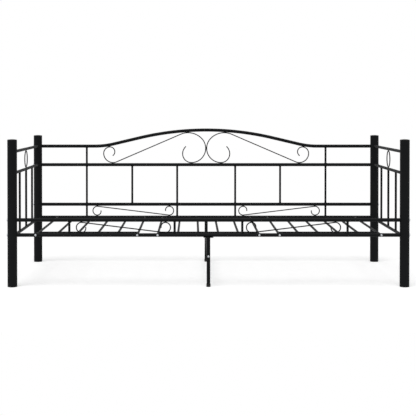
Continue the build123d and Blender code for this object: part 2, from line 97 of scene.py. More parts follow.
# Plastic fittings: foot and cap of a post, the skirts with which they sit in the tube, and the leg foot
FOOT_RIM, SOLE_BEVEL, SOLE_STEP = 5.0, 1.5, 0.5
CAP_RIM, CAP_CROWN, CAP_ROUND = 3.0, 2.5, 1.2
SKIRT_LENGTH, SKIRT_WALL = 16.0, 2.5
LEG_FOOT_R, LEG_FOOT_HEIGHT, LEG_FOOT_FLOOR = 11.0, 16.0, 3.0
LEG_FOOT_BEVEL, LEG_FOOT_ROUND = 0.75, 0.8

# Fasteners: shank radius, head radius and head height
POST_BOLT, POST_BOLT_LENGTH = (4.0, 7.5, 2.4), 67.8
PANEL_BOLT, PANEL_BOLT_LENGTH = (3.0, 5.75, 3.6), 34.0
PLATE_SCREW, PLATE_SCREW_LENGTH = (2.5, 4.5, 2.8), 12.0
WASHER_R, WASHER_HOLE_R, WASHER_CREST, WASHER_BEVEL = 9.0, 4.2, 0.8, 0.5

# Bolt heads: shares of the head's radius, shares of its height, then chamfers and the socket's point
HEAD_FLAT, SOCKET_CORNER = 0.45, 0.36
HEAD_EDGE, SOCKET_FLOOR = 0.3, 0.45
SHANK_CHAMFER, HEAD_CHAMFER, SOCKET_CHAMFER, SOCKET_POINT = 0.6, 0.3, 0.25, 0.4

# Welds: radius of a bead, length of its ripples and their share of the radius, half sizes of the tacks
BEAD_R, POST_BEAD_R, RIPPLE_LENGTH, RIPPLE_SHARE = 1.5, 2.0, 2.2, 0.12
RING_TACK, RING_TACK_SINK = (3.4, 6.5, 1.6), 0.5
ARCH_TACK, LOOP_TACK, LOW_TACK = (6.5, 3.2, 1.7), (1.7, 3.2, 6.5), (5.5, 3.2, 1.5)

# Softened edges: on a post and its fittings, and on the cut end of a scroll rod
SOFT_EDGE, ROD_BEVEL = 0.4, 0.7

# Fineness: points round a piece, along a ring or a rounding and on a weld, then the steps along a bend:
# their length on scrolls and on the arch, the degrees that one may turn, and the fewest of them
POST_POINTS, TUBE_POINTS, ROD_POINTS, SMALL_POINTS = 72, 36, 20, 48
RING_POINTS, ROUND_POINTS, CORNER_POINTS, CROWN_POINTS, DOME_POINTS = 96, 5, 7, 9, 8
BEAD_POINTS, RIPPLE_POINTS, TACK_ROWS, TACK_POINTS = 12, 4, 9, 16
SCROLL_STEP, ARCH_STEP, BEND_ANGLE, FEWEST_STEPS = 2.0, 10.0, 5, 3

# Mesh: points closer than this are one, and edges that turn by more degrees than this stay sharp
MERGE_DISTANCE, SHARP_ANGLE = 0.001, 38

# Studio: half sizes of the floor sheet and its depth under the feet in metres, and its glow
FLOOR_HALF_X, FLOOR_HALF_Y, FLOOR_DEPTH, FLOOR_GLOW = 2.2, 1.6, 0.0005, 0.46
# Room: its light at the horizon and overhead, and the height of the horizon's upper edge
ROOM_LOW, ROOM_HIGH, ROOM_HORIZON = 0.1, 0.4, 0.1
# Lamp: its spread in degrees, its strength, and the degrees that it leans to the front and to the left
LAMP_SPREAD, LAMP_STRENGTH, LAMP_FRONT, LAMP_LEFT = 40, 1.7, 22, 8

# Camera: place in metres, degrees below level, film and lens in millimetres, shift in film widths
CAMERA_PLACE, CAMERA_TILT = (-0.0831, -6.0305, 0.9152), 0.791
FILM_WIDTH, FOCAL_LENGTH = 36.0, 93.208
SHIFT_X, SHIFT_Y = 0.0375, -0.2


def linear(code):
    """A colour written as sRGB hex, as linear red, green, blue and alpha."""
    share = np.array([int(code[i : i + 2], 16) for i in (1, 3, 5)]) / 255
    low = share / 12.92
    high = ((share + 0.055) / 1.055) ** 2.4
    return (*np.where(share <= 0.04045, low, high), 1.0)


def add(tree, kind, inputs=(), **settings):
    """Adds one node, sets its properties, and sets or links its inputs."""
    made = tree.nodes.new(kind)
    for name, value in settings.items():
        setattr(made, name, value)
    for name, value in dict(inputs).items():
        if isinstance(value, bpy.types.NodeSocket):
            tree.links.new(value, made.inputs[name])
        else:
            made.inputs[name].default_value = value
    return made


def per_metre(size):
    """The scale of a noise whose features are this many millimetres across."""
    return 1 / (size * MM)


def new_finish(name):
    """An empty node material with its output."""
    finish = bpy.data.materials.new(name)
    finish.use_nodes = True
    tree = finish.node_tree
    tree.nodes.clear()
    return finish, tree, add(tree, "ShaderNodeOutputMaterial")


def powder_coated_steel():
    """Black polyester powder, sprayed dry and baked: a matt skin with the slow ripple of orange peel.

    The powder flows out to soft lumps about 3 mm across, over a finer pebble of 0.9 mm, and its gloss
    varies a little from place to place. Pigment shows as hardly lighter clouds some 90 mm wide.
    """
    finish, tree, out = new_finish("black_powder_coated_steel")
    place = add(tree, "ShaderNodeTexCoord").outputs["Object"]
    peel = add(tree, "ShaderNodeTexNoise", {"Vector": place, "Scale": per_metre(3.0), "Detail": 1.0})
    pebble = add(tree, "ShaderNodeTexNoise", {"Vector": place, "Scale": per_metre(0.9), "Detail": 2.0})
    cloud = add(tree, "ShaderNodeTexNoise", {"Vector": place, "Scale": per_metre(90.0), "Detail": 3.0})
    colours = {"Factor": cloud.outputs["Fac"], "A": linear("#0b0c0d"), "B": linear("#121416")}
    shade = add(tree, "ShaderNodeMix", colours, data_type="RGBA")
    spread = {"From Min": 0.3, "From Max": 0.7, "To Min": 0.6, "To Max": 0.7}
    gloss = add(tree, "ShaderNodeMapRange", {"Value": pebble.outputs["Fac"], **spread})
    lumps = {"Height": peel.outputs["Fac"], "Strength": 0.5, "Distance": 0.18 * MM}
    swell = add(tree, "ShaderNodeBump", lumps).outputs["Normal"]
    pebbles = {"Height": pebble.outputs["Fac"], "Strength": 0.3, "Distance": 0.03 * MM, "Normal": swell}
    grain = add(tree, "ShaderNodeBump", pebbles).outputs["Normal"]
    skin = add(
        tree,
        "ShaderNodeBsdfPrincipled",
        {
            "Base Color": shade.outputs["Result"],
            "Roughness": gloss.outputs["Result"],
            "Normal": grain,
            "IOR": 1.5,
            "Specular IOR Level": 0.12,
        },
    )
    tree.links.new(skin.outputs[0], out.inputs["Surface"])
    return finish


def moulded_polypropylene():
    """Black polypropylene moulded against a spark-eroded tool: matt, with an even fine grain.

    The real grain is about 0.2 mm across. It is drawn 0.6 mm across, so that it shows.
    """
    finish, tree, out = new_finish("moulded_black_polypropylene")
    place = add(tree, "ShaderNodeTexCoord").outputs["Object"]
    grain = add(tree, "ShaderNodeTexNoise", {"Vector": place, "Scale": per_metre(0.6), "Detail": 1.0})
    flow = add(tree, "ShaderNodeTexNoise", {"Vector": place, "Scale": per_metre(18.0), "Detail": 2.0})
    colours = {"Factor": flow.outputs["Fac"], "A": linear("#0f0f0f"), "B": linear("#171716")}
    shade = add(tree, "ShaderNodeMix", colours, data_type="RGBA")
    spread = {"To Min": 0.5, "To Max": 0.68}
    gloss = add(tree, "ShaderNodeMapRange", {"Value": grain.outputs["Fac"], **spread})
    pits = {"Height": grain.outputs["Fac"], "Strength": 0.5, "Distance": 0.05 * MM}
    relief = add(tree, "ShaderNodeBump", pits).outputs["Normal"]
    skin = add(
        tree,
        "ShaderNodeBsdfPrincipled",
        {
            "Base Color": shade.outputs["Result"],
            "Roughness": gloss.outputs["Result"],
            "Normal": relief,
            "IOR": 1.49,
            "Specular IOR Level": 0.25,
        },
    )
    tree.links.new(skin.outputs[0], out.inputs["Surface"])
    return finish


def zinc_plated_steel():
    """Cold-formed steel, bright zinc plated: a pale blue-grey metal, cloudy where the plate is thicker.

    The clouds are about 2.5 mm across, and drawing marks of 0.4 mm roughen the shine.
    """
    finish, tree, out = new_finish("bright_zinc_plated_steel")
    place = add(tree, "ShaderNodeTexCoord").outputs["Object"]
    cloud = add(tree, "ShaderNodeTexNoise", {"Vector": place, "Scale": per_metre(2.5), "Detail": 3.0})
    marks = add(tree, "ShaderNodeTexNoise", {"Vector": place, "Scale": per_metre(0.4), "Detail": 1.0})
    colours = {"Factor": cloud.outputs["Fac"], "A": linear("#a3a6aa"), "B": linear("#c3c5c8")}
    shade = add(tree, "ShaderNodeMix", colours, data_type="RGBA")
    spread = {"To Min": 0.24, "To Max": 0.42}
    gloss = add(tree, "ShaderNodeMapRange", {"Value": cloud.outputs["Fac"], **spread})
    scratches = {"Height": marks.outputs["Fac"], "Strength": 0.2, "Distance": 0.02 * MM}
    relief = add(tree, "ShaderNodeBump", scratches).outputs["Normal"]
    skin = add(
        tree,
        "ShaderNodeBsdfPrincipled",
        {
            "Base Color": shade.outputs["Result"],
            "Metallic": 1.0,
            "Roughness": gloss.outputs["Result"],
            "Normal": relief,
        },
    )
    tree.links.new(skin.outputs[0], out.inputs["Surface"])
    return finish


# Each finish: its material, the record's slot, and the ending of its pieces' names
COAT = (powder_coated_steel(), "black_powder_coat", "coated")
PLASTIC = (moulded_polypropylene(), "black_plastic", "moulded")
ZINC = (zinc_plated_steel(), "zinc_plated_steel", "plated")


def grid_faces(rows, columns, closed_rows, closed_columns):
    """Corner numbers of a grid's quads, carried round where a direction is closed."""
    row = np.arange(rows if closed_rows else rows - 1)[:, None]
    column = np.arange(columns if closed_columns else columns - 1)[None, :]
    next_row = (row + 1) % rows
    next_column = (column + 1) % columns
    corners = [row * columns + column, row * columns + next_column]
    corners += [next_row * columns + next_column, next_row * columns + column]
    return np.stack(corners, axis=-1).reshape(-1, 4)


def piece(node, surfaces, finish):
    """Makes one mesh of several surfaces, gives it its finish and hides the CAD node that it is named
    after.

    A surface is a grid of points and whether its rows and its columns close on themselves. Rows that
    shrink to one point are merged to a pole.
    """
    material, slot, ending = finish
    points = []
    faces = []
    count = 0
    for grid, closed_rows, closed_columns in surfaces:
        rows, columns = grid.shape[:2]
        faces.append(grid_faces(rows, columns, closed_rows, closed_columns) + count)
        points.append(grid.reshape(-1, 3) * MM)
        count += rows * columns
    name = f"{node}_{ending}"
    mesh = bpy.data.meshes.new(name)
    mesh.from_pydata(np.concatenate(points), [], np.concatenate(faces).tolist())
    shaped = bmesh.new()
    shaped.from_mesh(mesh)
    bmesh.ops.remove_doubles(shaped, verts=shaped.verts, dist=MERGE_DISTANCE * MM)
    bmesh.ops.recalc_face_normals(shaped, faces=shaped.faces)
    shaped.to_mesh(mesh)
    shaped.free()
    mesh.shade_smooth()
    mesh.set_sharp_from_angle(angle=math.radians(SHARP_ANGLE))
    mesh.materials.append(material)
    made = bpy.data.objects.new(name, mesh)
    bpy.context.scene.collection.objects.link(made)
    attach(made, "root")
    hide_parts(node)


def turn_angles(around):
    """Evenly spaced angles round a full turn."""
    return np.linspace(0, 2 * math.pi, around, endpoint=False)


def circle(along, radius, around):
    """Offsets of a circle across a direction that lies along an axis: r (cos a · u + sin a · v)."""
    u = np.roll(along, 1)
    v = np.cross(along, u)
    angle = turn_angles(around)[:, None]
    return radius * (np.cos(angle) * u + np.sin(angle) * v)


def cope_line(point, along, inward, radius, seat, around):
    """The saddle line where a tube's wall meets the tube that it is cut to.

    At each angle the line lies sqrt(R² - q²) from the crossed axis, along the tube, where R is the
    seat's radius and q is the wall's offset across that axis. A seat of no radius gives a square cut.
    """
    seat_radius, seat_axis = seat
    ring = circle(along, radius, around)
    across = ring @ np.cross(along, seat_axis)
    inset = np.sqrt(np.maximum(seat_radius**2 - across**2, 0))
    return point + ring + inward * inset[:, None] * along


def coped_tube(start, end, stock, start_seat, end_seat):
    """A straight tube with saddle ends, closed on itself: outside from start to end, inside back."""
    start = np.array(start, float)
    end = np.array(end, float)
    along = (end - start) / np.linalg.norm(end - start)
    radius, wall = stock
    rows = []
    for wall_radius in (radius, radius - wall):
        first = cope_line(start, along, 1, wall_radius, start_seat, TUBE_POINTS)
        last = cope_line(end, along, -1, wall_radius, end_seat, TUBE_POINTS)
        rows += [first, last] if wall_radius == radius else [last, first]
    return np.stack(rows), True, True


def weld_bead(point, along, inward, radius, seat, size):
    """A weld round a tube's end: a small circle carried along the saddle line.

    The circle's radius is size (1 + d cos k a), with k ripples round the tube and d their share.
    """
    point = np.array(point, float)
    ripples = round(2 * math.pi * radius / RIPPLE_LENGTH)
    around = RIPPLE_POINTS * ripples
    line = cope_line(point, along, inward, radius, seat, around)
    outward = circle(along, 1, around)[:, None, :]
    swell = size * (1 + RIPPLE_SHARE * np.cos(ripples * turn_angles(around)))[:, None, None]
    angle = turn_angles(BEAD_POINTS)[None, :, None]
    section = np.cos(angle) * outward + np.sin(angle) * inward * along
    return line[:, None, :] + swell * section, True, True


def welded_tube(start, end, stock, start_seat, end_seat, size=BEAD_R):
    """A coped tube with a weld bead round both of its ends."""
    along = np.array(end, float) - np.array(start, float)
    along /= np.linalg.norm(along)
    sunk = [(radius - WELD_SINK, axis) for radius, axis in (start_seat, end_seat)]
    beads = [weld_bead(start, along, 1, stock[0], start_seat, size)]
    beads.append(weld_bead(end, along, -1, stock[0], end_seat, size))
    return [coped_tube(start, end, stock, *sunk), *beads]


def turned(profile, centre, around):
    """A profile of (radius, height) pairs turned round an upright axis."""
    profile = np.array(profile, float)
    angle = turn_angles(around)
    rim = np.stack([np.cos(angle), np.sin(angle), np.zeros(around)], axis=-1)
    grid = profile[:, None, :1] * rim + profile[:, None, 1:] * Z
    return grid + np.array(centre, float), False, True


def quarter(radius, height, size):
    """A quarter round from the side of a turned piece to its top.

    At angle a it lies size (cos a, sin a) from the rounding's centre.
    """
    angle = np.linspace(0, math.pi / 2, ROUND_POINTS)
    across = radius - size + size * np.cos(angle)
    up = height - size + size * np.sin(angle)
    return np.stack([across, up], axis=-1)


def bent_line(start, heading, steps, spacing=SCROLL_STEP):
    """Points and headings along tangent straights and bends in an XZ plane.

    A step is a straight length, or a radius and a turn in degrees that bends from +X towards +Z. On a
    bend the point is centre ± R (sin h, -cos h), h being the heading there.
    """
    x, z = start
    heading = math.radians(heading)
    points = []
    headings = []
    for step in steps:
        if isinstance(step, tuple):
            radius, turn = step[0], math.radians(step[1])
            hand = math.copysign(radius, turn)
            by_length = math.ceil(abs(hand * turn) / spacing)
            by_angle = math.ceil(abs(step[1]) / BEND_ANGLE)
            count = max(FEWEST_STEPS, by_length, by_angle)
            angle = heading + turn * np.linspace(0, 1, count + 1)
            across = x + hand * (np.sin(angle) - math.sin(heading))
            up = z - hand * (np.cos(angle) - math.cos(heading))
        else:
            angle = np.array([heading, heading])
            across = x + np.array([0, step * math.cos(heading)])
            up = z + np.array([0, step * math.sin(heading)])
        points.append(np.stack([across, up], axis=-1)[:-1])
        headings.append(angle[:-1])
        x, z, heading = across[-1], up[-1], angle[-1]
    points.append([[x, z]])
    headings.append([heading])
    return np.concatenate(points), np.concatenate(headings)


def rings_along(points, headings, y, radii, around):
    """Circles across a bent line: path + r (cos a · Y + sin a · n), n being its upward normal."""
    angle = turn_angles(around)[None, :, None]
    centre = np.stack([points[:, 0], np.full(len(points), y), points[:, 1]], axis=-1)[:, None, :]
    normal = np.stack([-np.sin(headings), np.zeros(len(points)), np.cos(headings)], axis=-1)[:, None, :]
    radii = np.broadcast_to(radii, len(points))[:, None, None]
    return centre + radii * (np.cos(angle) * Y + np.sin(angle) * normal)


def bent_rod(points, headings, y, mirrored):
    """A solid rod along a bent line, cut square at both ends, with the cut's edge softened.

    It is circles across the line, whose radius shrinks to nothing over the bevel and the cut.
    """
    forward = np.stack([np.cos(headings), np.sin(headings)], axis=-1)
    first, last = points[0], points[-1]
    inner = points[1:-1]
    start = [first, first, first + ROD_BEVEL * forward[0]]
    end = [last - ROD_BEVEL * forward[-1], last, last]
    path = np.concatenate([start, inner, end])
    turns = np.concatenate([[headings[0]] * 3, headings[1:-1], [headings[-1]] * 3])
    cut = [0, ROD_R - ROD_BEVEL, ROD_R]
    radii = np.concatenate([cut, np.full(len(inner), ROD_R), cut[::-1]])
    grid = rings_along(path, turns, y, radii, ROD_POINTS)
    return grid * ([-1, 1, 1] if mirrored else [1, 1, 1]), False, True


def tack(centre, half_sizes):
    """A small blob of weld: a sphere, stretched to an ellipsoid of the given half sizes."""
    tilt = np.linspace(-math.pi / 2, math.pi / 2, TACK_ROWS)[:, None]
    angle = turn_angles(TACK_POINTS)[None, :]
    ball = np.stack(
        [np.cos(tilt) * np.cos(angle), np.cos(tilt) * np.sin(angle), np.sin(tilt) + 0 * angle], axis=-1
    )
    return np.array(centre, float) + ball * np.array(half_sizes, float), False, True


def bolt(seat, outward, size, length):
    """A button-head bolt: radius as a function of height and angle, with a hexagon socket in its head.

    The dome is an arc from the head's edge to its flat top. In the socket the radius at angle a is
    p / cos(b), where p is half the width across flats and b is the angle from the middle of the
    nearest flat.
    """
    shank, head, height = size
    flat, edge = head * HEAD_FLAT, height * HEAD_EDGE
    dome_r = ((head - flat) ** 2 + (height - edge) ** 2) / (2 * (height - edge))
    sweep = np.linspace(math.asin((head - flat) / dome_r), 0, DOME_POINTS)
    dome = np.stack([flat + dome_r * np.sin(sweep), height - dome_r * (1 - np.cos(sweep))], axis=-1)
    half_flat = math.pi / 6
    off_flat = (turn_angles(SMALL_POINTS) + half_flat) % (2 * half_flat) - half_flat
    corner = head * SOCKET_CORNER
    hexagon = corner * math.cos(half_flat) / np.cos(off_flat)
    floor = height * SOCKET_FLOOR
    rounds = [(0, -length), (shank - SHANK_CHAMFER, -length), (shank, SHANK_CHAMFER - length)]
    rounds += [(shank, 0), (head - HEAD_CHAMFER, 0), (head, HEAD_CHAMFER), *dome]
    rounds += [(corner + SOCKET_CHAMFER, height)]
    radii = [np.full(SMALL_POINTS, radius) for radius, _ in rounds]
    radii += [hexagon, hexagon, np.zeros(SMALL_POINTS)]
    heights = [up for _, up in rounds] + [height - SOCKET_CHAMFER, floor, floor - SOCKET_POINT]
    radii = np.stack(radii)[:, :, None]
    heights = np.array(heights)[:, None, None]
    rim = circle(outward, 1, SMALL_POINTS)
    return np.array(seat, float) + radii * rim + heights * outward, False, True


def saddle_washer(seat, outward):
    """A washer with a flat top whose underside follows the post.

    The underside's depth at a radius r and angle a is the crest plus R - sqrt(R² - (r sin a)²). Its
    rows are the two whose drop below the flat top is left open.
    """
    radii = np.array([WASHER_HOLE_R, WASHER_HOLE_R, WASHER_R - WASHER_BEVEL, WASHER_R, WASHER_R])
    drop = np.array([np.nan, 0, 0, WASHER_BEVEL, np.nan])
    rim = circle(outward, 1, SMALL_POINTS)
    across = radii[:, None] * (rim @ Y)
    under = WASHER_CREST + POST_R - np.sqrt(POST_R**2 - across**2)
    depth = np.where(np.isnan(drop)[:, None], under, drop[:, None])[:, :, None]
    return np.array(seat, float) + radii[:, None, None] * rim - depth * outward, True, True


def rounded_plate(centre, size, corner, edge):
    """A flat plate with round corners and softened edges: outlines of one shape, inset and stacked in Z.

    An outline's point at angle a is its quadrant's corner centre plus r (cos a, sin a).
    """
    width, depth, thick = size
    turns = np.arange(4)[:, None] * 90
    angle = np.radians((turns + np.linspace(0, 90, CORNER_POINTS)).ravel())
    quadrant = np.radians((turns + 45 + np.zeros(CORNER_POINTS)).ravel())
    rim = np.stack([np.cos(angle), np.sin(angle)], axis=-1)
    corners = np.sign(np.stack([np.cos(quadrant), np.sin(quadrant)], axis=-1))
    corners *= np.array([width / 2 - corner, depth / 2 - corner])
    insets = [(0, corner - edge, 0), (1, corner - edge, 0), (1, corner, edge)]
    insets += [(1, corner, thick - edge), (1, corner - edge, thick), (0, corner - edge, thick)]
    keep, radius, up = np.array(insets, float).T[:, :, None, None]
    outlines = keep * (corners + radius * rim)
    heights = np.broadcast_to(up, (*outlines.shape[:2], 1))
    return np.concatenate([outlines, heights], axis=-1) + np.array(centre, float), False, True


def post_pieces(side, face):
    """A post with its domed cap and its flat foot, all turned.

    The cap's crown is a parabola: it falls from its middle with the square of the radius.
    """
    place = (SIDES[side] * HALF_X, FACES[face] * HALF_Y, 0)
    low, high = FOOT_RIM, POST_TOP - CAP_RIM - CAP_CROWN
    inside = POST_R - POST_WALL
    soft = POST_R - SOFT_EDGE
    tube = [(inside, low), (soft, low), (POST_R, low + SOFT_EDGE)]
    tube += [(POST_R, high - SOFT_EDGE), (soft, high), (inside, high), (inside, low)]
    piece(f"{side}_{face}_post", [turned(tube, place, POST_POINTS)], COAT)

    skirt = inside - SEAT_GAP
    skirt_in = skirt - SKIRT_WALL
    seat, end = high + SEAT_GAP, high - SKIRT_LENGTH
    rim = high + CAP_RIM
    rounding = quarter(POST_R, rim, CAP_ROUND)
    share = np.linspace(1, 0, CROWN_POINTS)[1:]
    crown = np.stack([rounding[-1, 0] * share, rim + CAP_CROWN * (1 - share**2)], axis=-1)
    cap = [(0, high), (skirt_in, high), (skirt_in, end), (skirt, end), (skirt, seat)]
    cap += [(soft, seat), (POST_R, seat + SOFT_EDGE), *rounding, *crown]
    piece(f"{side}_{face}_post_cap", [turned(cap, place, POST_POINTS)], PLASTIC)

    seat, end = low - SEAT_GAP, low + SKIRT_LENGTH
    sole = [(0, 0), (POST_R - SOLE_BEVEL, 0), (POST_R - SOLE_STEP, SOLE_STEP), (POST_R, SOLE_BEVEL)]
    sole += [(POST_R, seat - SOFT_EDGE), (soft, seat), (skirt, seat), (skirt, end)]
    sole += [(skirt_in, end), (skirt_in, low), (0, low)]
    piece(f"{side}_{face}_post_foot", [turned(sole, place, POST_POINTS)], PLASTIC)


def end_ring(x):
    """The ring of an end panel, with a tack weld to the rail above and the rail below.

    A point is R s + r (cos b · s + sin b · X), s being the spoke to that place on the ring.
    """
    middle = (TOP_Z + MIDDLE_Z) / 2
    opening = (TOP_Z - MIDDLE_Z) / 2 - END_RAIL_R
    ring_r = opening - ROD_R - SEAT_GAP
    turn = turn_angles(RING_POINTS)[:, None, None]
    spoke = np.cos(turn) * Y + np.sin(turn) * Z
    section = turn_angles(ROD_POINTS)[None, :, None]
    ring = ring_r * spoke + ROD_R * (np.cos(section) * spoke + np.sin(section) * X)
    surfaces = [(ring + np.array([x, 0, middle]), True, True)]
    for end in (-1, 1):
        surfaces.append(tack((x, 0, middle + end * (opening - RING_TACK_SINK)), RING_TACK))
    return surfaces


def end_panel_pieces(side):
    """Rails, uprights and ring of one end panel, welded to its posts and to each other."""
    x = SIDES[side] * HALF_X
    stock = (END_RAIL_R, END_RAIL_WALL)
    post_seat = (POST_R, Z)
    for name, z in (("top", TOP_Z), ("middle", MIDDLE_Z), ("bottom", END_LOW_Z)):
        rail = welded_tube((x, -HALF_Y, z), (x, HALF_Y, z), stock, post_seat, post_seat, POST_BEAD_R)
        piece(f"{side}_end_{name}_rail", rail, COAT)
    seat = (END_RAIL_R, Y)
    bars = []
    for y in (-END_PITCH, 0, END_PITCH):
        bars += welded_tube((x, y, END_LOW_Z), (x, y, MIDDLE_Z), (BAR_R, BAR_WALL), seat, seat)
    piece(f"{side}_end_balusters", bars, COAT)
    piece(f"{side}_end_ring", end_ring(x), COAT)


def bolted_rail(face, z):
    """A rail along the bed whose ends are cut to the posts and held by bolts."""
    y = FACES[face] * HALF_Y
    seat = (POST_R + SEAT_GAP, Z)
    return [coped_tube((-HALF_X, y, z), (HALF_X, y, z), (RAIL_R, RAIL_WALL), seat, seat)]


def uprights(face, places, low, high):
    """Balusters welded between two level rails."""
    y = FACES[face] * HALF_Y
    seat = (RAIL_R, X)
    bars = []
    for x in [side * place for place in places for side in SIDES.values()]:
        bars += welded_tube((x, y, low), (x, y, high), (BAR_R, BAR_WALL), seat, seat)
    return bars


def arch_sizes():
    """Length of the arch's straight flank, and half its width between the starts of the foot bends.

    Up to the crown, the two bends rise by their radii times 1 - cos s and the flank by its length times
    sin s. Across, they take their radii times sin s and its length times cos s. s is the flank's slope.
    """
    slope = math.radians(ARCH_SLOPE)
    flank = (ARCH_RISE - (ARCH_CROWN_R + ARCH_FOOT_R) * (1 - math.cos(slope))) / math.sin(slope)
    return flank, (ARCH_CROWN_R + ARCH_FOOT_R) * math.sin(slope) + flank * math.cos(slope)


def arched_rail():
    """The back top rail: a tube carried along level ends, foot bends, flanks and one wide crown.

    Its rows are circles across that line, with a saddle line at each post: outside there, inside back.
    """
    flank, half_width = arch_sizes()
    level, foot = HALF_X - half_width, (ARCH_FOOT_R, ARCH_SLOPE)
    steps = [level, foot, flank, (ARCH_CROWN_R, -2 * ARCH_SLOPE), flank, foot, level]
    points, headings = bent_line((-HALF_X, TOP_Z), 0, steps, ARCH_STEP)
    seat = (POST_R + SEAT_GAP, Z)
    rows = []
    for radius in (RAIL_R, RAIL_R - RAIL_WALL):
        first = cope_line((-HALF_X, HALF_Y, TOP_Z), X, 1, radius, seat, TUBE_POINTS)
        last = cope_line((HALF_X, HALF_Y, TOP_Z), X, -1, radius, seat, TUBE_POINTS)
        middle = rings_along(points[1:-1], headings[1:-1], HALF_Y, radius, TUBE_POINTS)
        wall = np.concatenate([first[None], middle, last[None]])
        rows.append(wall if radius == RAIL_R else wall[::-1])
    return [(np.concatenate(rows), True, True)]


def arch_scroll(mirrored):
    """A long scroll under the arch, with its tack welds to the rails.

    Its shoulder touches the crown from below. The loop that follows touches the other scroll in the
    middle of the bed and stands on the middle rail. From the shoulder a straight falls to the curl,
    which stands on that rail too and touches the arch's foot bend. The shoulder's place and the loop's
    radius depend on each other, so they are worked out in turn until they settle.
    """
    slope, shoulder = math.radians(SCROLL_SLOPE), math.radians(SHOULDER_TURN)
    floor = MIDDLE_Z + SCROLL_SEAT
    crown_centre = TOP_Z + ARCH_RISE - ARCH_CROWN_R
    swing = ARCH_CROWN_R - SCROLL_SEAT - SHOULDER_R
    drop = SHOULDER_R * (1 - math.cos(shoulder))
    top_x = 0.0
    for _ in range(SETTLING_ROUNDS):
        top_z = crown_centre + SHOULDER_R + math.sqrt(swing**2 - top_x**2)
        loop_r = (top_z - floor - drop) / (1 + math.cos(shoulder))
        loop_side = ROD_R + SEAT_GAP / 2 + loop_r * (1 - math.sin(shoulder))
        top_x = loop_side + SHOULDER_R * math.sin(shoulder)
    bends = (CURL_R + SHOULDER_R) * (1 - math.cos(slope))
    straight = (top_z - floor - bends) / math.sin(slope)
    foot_x = -(top_x + straight * math.cos(slope) + (CURL_R + SHOULDER_R) * math.sin(slope))
    _, half_width = arch_sizes()
    across = foot_x - CURL_R + half_width
    below = floor + CURL_R - TOP_Z - ARCH_FOOT_R
    clear = ARCH_FOOT_R + SCROLL_SEAT
    curl_top_r = (clear**2 - across**2 - below**2) / (2 * (across - clear))

    curl = [(CURL_R, -90), (curl_top_r, -90), (CURL_INNER_R, -90), (CURL_TAIL_R, -CURL_TAIL_TURN)]
    run, turned_to = bent_line((foot_x, floor), 180, curl)
    steps = [(radius, -turn) for radius, turn in reversed(curl)]
    steps += [(CURL_R, SCROLL_SLOPE), straight, (SHOULDER_R, -SCROLL_SLOPE - SHOULDER_TURN)]
    steps += [(loop_r, SHOULDER_TURN - 90), (loop_r, -90), (HOOK_R, -90), (TAIL_R, -TAIL_TURN)]
    points, headings = bent_line(run[-1], math.degrees(turned_to[-1]) + 180, steps)

    # The curl touches the foot bend on the line between the centres of the two bends
    curl_x, curl_z = foot_x - CURL_R + curl_top_r, floor + CURL_R
    lean = math.atan2(TOP_Z + ARCH_FOOT_R - curl_z, -half_width - curl_x)
    reach = curl_top_r + ROD_R
    seats = [(foot_x, floor - ROD_R), (-ROD_R - loop_r, floor - ROD_R)]
    seats.append((curl_x + reach * math.cos(lean), curl_z + reach * math.sin(lean)))
    seats.append((-top_x * (1 + ROD_R / (swing + SHOULDER_R)), top_z + ROD_R))
    hand = -1 if mirrored else 1
    tacks = [tack((hand * x, HALF_Y, z), ARCH_TACK) for x, z in seats]
    if not mirrored:
        tacks.append(tack((0, HALF_Y, floor + loop_r), LOOP_TACK))
    return [bent_rod(points, headings, HALF_Y, mirrored), *tacks]


def low_scroll(face, mirrored):
    """A flat S scroll between the two low rails, with its tack welds to both.

    Two equal curls fill the height between the rails. The straight between them is tangent to the top
    of one and the foot of the other: the sine of its slope is their radius over half their distance.
    """
    curl_r = (UPPER_Z - LOWER_Z - 2 * RAIL_R - 2 * SEAT_GAP) / 2 - ROD_R
    curl_x = LOW_LENGTH / 2 - ROD_R - curl_r
    slope = math.degrees(math.asin(curl_r / curl_x))
    straight = 2 * curl_x * math.cos(math.radians(slope))
    middle = (UPPER_Z + LOWER_Z) / 2
    curl = [(curl_r, 90), (curl_r, 90), (LOW_TAIL_R, LOW_TAIL_TURN)]
    run, turned_to = bent_line((-LOW_CENTRE_X - curl_x, middle + curl_r), 180, curl)
    steps = [(radius, -turn) for radius, turn in reversed(curl)]
    steps += [(curl_r, -slope), straight, (curl_r, slope), *curl]
    points, headings = bent_line(run[-1], math.degrees(turned_to[-1]) + 180, steps)
    y = FACES[face] * HALF_Y
    hand = -1 if mirrored else 1
    reach = curl_r + ROD_R
    tacks = []
    for x in (-LOW_CENTRE_X - curl_x, -LOW_CENTRE_X + curl_x):
        tacks += [tack((hand * x, y, middle + end * reach), LOW_TACK) for end in (-1, 1)]
    return [bent_rod(points, headings, y, mirrored), *tacks]


def long_panel_pieces():
    """The back panel with its arch and the low front panel."""
    piece("back_arched_top_rail", arched_rail(), COAT)
    piece("back_middle_rail", bolted_rail("back", MIDDLE_Z), COAT)
    piece("back_upper_balusters", uprights("back", (OUTER_X,), MIDDLE_Z, TOP_Z), COAT)
    middle_bars = uprights("back", (OUTER_X, SHORT_X, INNER_X), UPPER_Z, MIDDLE_Z)
    piece("back_middle_balusters", middle_bars, COAT)
    for side in SIDES:
        piece(f"back_arch_scroll_{side}", arch_scroll(side == "right"), COAT)
    for face in FACES:
        piece(f"{face}_upper_rail", bolted_rail(face, UPPER_Z), COAT)
        piece(f"{face}_lower_rail", bolted_rail(face, LOWER_Z), COAT)
        piece(f"{face}_lower_balusters", uprights(face, (OUTER_X, INNER_X), LOWER_Z, UPPER_Z), COAT)
        for side in SIDES:
            piece(f"{face}_low_scroll_{side}", low_scroll(face, side == "right"), COAT)


def slat_places(panel):
    """The X of each slat of one panel."""
    first = SLAT_MARGIN - HALF_X + PANELS.index(panel) * SLATS * SLAT_PITCH
    return first + SLAT_PITCH * np.arange(SLATS)


